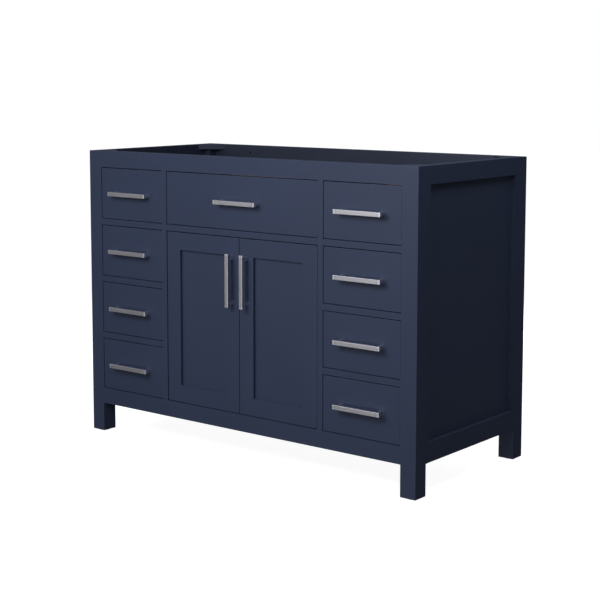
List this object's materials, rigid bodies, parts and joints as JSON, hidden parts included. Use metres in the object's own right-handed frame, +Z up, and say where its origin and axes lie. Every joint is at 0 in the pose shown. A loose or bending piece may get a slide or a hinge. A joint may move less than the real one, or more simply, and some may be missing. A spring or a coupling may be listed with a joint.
{
  "type": "bathroom vanity cabinet",
  "caption": "Free-standing bathroom vanity base on square legs, open top, slab drawers both sides, wide top drawer over two framed doors, flat-bar pulls.",
  "frame": {"origin": "on the floor under the middle of the whole, pulls included", "axes": "+X along the width to the right seen from the front, +Y from the front to the wall, +Z up"},
  "size_m": [1.2, 0.577, 0.87],
  "materials": {
    "navy_lacquer": "satin navy lacquer on wood",
    "birch": "clear-coated birch",
    "brushed_nickel": "brushed along the bar",
    "zinc_steel": "bright zinc plate",
    "glide_plastic": "matte"
  },
  "bodies": {
    "cabinet": {"front_left_post": "navy_lacquer", "front_right_post": "navy_lacquer", "back_left_post": "navy_lacquer", "back_right_post": "navy_lacquer", "front_top_rail": "navy_lacquer", "front_bottom_rail": "navy_lacquer", "mullions": "navy_lacquer", "drawer_rails": "navy_lacquer", "carcase_rails": "navy_lacquer", "side_panels": "navy_lacquer", "partitions": "navy_lacquer", "floor_panel": "navy_lacquer", "back_panel": "navy_lacquer", "leg_glides": "glide_plastic", "cabinet_runners": "zinc_steel", "hinge_arms": "zinc_steel"},
    "centre_drawer": {"centre_drawer_front": "navy_lacquer", "centre_drawer_box": "birch", "centre_drawer_pull": "brushed_nickel", "centre_drawer_runners": "zinc_steel"},
    "left_drawer_1": {"left_drawer_1_front": "navy_lacquer", "left_drawer_1_box": "birch", "left_drawer_1_pull": "brushed_nickel", "left_drawer_1_runners": "zinc_steel"},
    "left_drawer_2": {"left_drawer_2_front": "navy_lacquer", "left_drawer_2_box": "birch", "left_drawer_2_pull": "brushed_nickel", "left_drawer_2_runners": "zinc_steel"},
    "left_drawer_3": {"left_drawer_3_front": "navy_lacquer", "left_drawer_3_box": "birch", "left_drawer_3_pull": "brushed_nickel", "left_drawer_3_runners": "zinc_steel"},
    "left_drawer_4": {"left_drawer_4_front": "navy_lacquer", "left_drawer_4_box": "birch", "left_drawer_4_pull": "brushed_nickel", "left_drawer_4_runners": "zinc_steel"},
    "right_drawer_1": {"right_drawer_1_front": "navy_lacquer", "right_drawer_1_box": "birch", "right_drawer_1_pull": "brushed_nickel", "right_drawer_1_runners": "zinc_steel"},
    "right_drawer_2": {"right_drawer_2_front": "navy_lacquer", "right_drawer_2_box": "birch", "right_drawer_2_pull": "brushed_nickel", "right_drawer_2_runners": "zinc_steel"},
    "right_drawer_3": {"right_drawer_3_front": "navy_lacquer", "right_drawer_3_box": "birch", "right_drawer_3_pull": "brushed_nickel", "right_drawer_3_runners": "zinc_steel"},
    "right_drawer_4": {"right_drawer_4_front": "navy_lacquer", "right_drawer_4_box": "birch", "right_drawer_4_pull": "brushed_nickel", "right_drawer_4_runners": "zinc_steel"},
    "left_door": {"left_door_frame": "navy_lacquer", "left_door_panel": "navy_lacquer", "left_door_pull": "brushed_nickel", "left_door_hinge_cups": "zinc_steel"},
    "right_door": {"right_door_frame": "navy_lacquer", "right_door_panel": "navy_lacquer", "right_door_pull": "brushed_nickel", "right_door_hinge_cups": "zinc_steel"}
  },
  "joints": [
    {"name": "centre_drawer_slide", "type": "slide", "parent": "cabinet", "child": "centre_drawer", "axis": [0, -1, 0], "range_m": [0, 0.35]},
    {"name": "left_drawer_1_slide", "type": "slide", "parent": "cabinet", "child": "left_drawer_1", "axis": [0, -1, 0], "range_m": [0, 0.35]},
    {"name": "left_drawer_2_slide", "type": "slide", "parent": "cabinet", "child": "left_drawer_2", "axis": [0, -1, 0], "range_m": [0, 0.35]},
    {"name": "left_drawer_3_slide", "type": "slide", "parent": "cabinet", "child": "left_drawer_3", "axis": [0, -1, 0], "range_m": [0, 0.35]},
    {"name": "left_drawer_4_slide", "type": "slide", "parent": "cabinet", "child": "left_drawer_4", "axis": [0, -1, 0], "range_m": [0, 0.35]},
    {"name": "right_drawer_1_slide", "type": "slide", "parent": "cabinet", "child": "right_drawer_1", "axis": [0, -1, 0], "range_m": [0, 0.35]},
    {"name": "right_drawer_2_slide", "type": "slide", "parent": "cabinet", "child": "right_drawer_2", "axis": [0, -1, 0], "range_m": [0, 0.35]},
    {"name": "right_drawer_3_slide", "type": "slide", "parent": "cabinet", "child": "right_drawer_3", "axis": [0, -1, 0], "range_m": [0, 0.35]},
    {"name": "right_drawer_4_slide", "type": "slide", "parent": "cabinet", "child": "right_drawer_4", "axis": [0, -1, 0], "range_m": [0, 0.35]},
    {"name": "left_door_hinge", "type": "hinge", "parent": "cabinet", "child": "left_door", "pos_m": [-0.255, -0.25355, 0.392], "axis": [0, 0, -1], "range_deg": [0, 90]},
    {"name": "right_door_hinge", "type": "hinge", "parent": "cabinet", "child": "right_door", "pos_m": [0.255, -0.25355, 0.392], "axis": [0, 0, 1], "range_deg": [0, 90]}
  ]
}
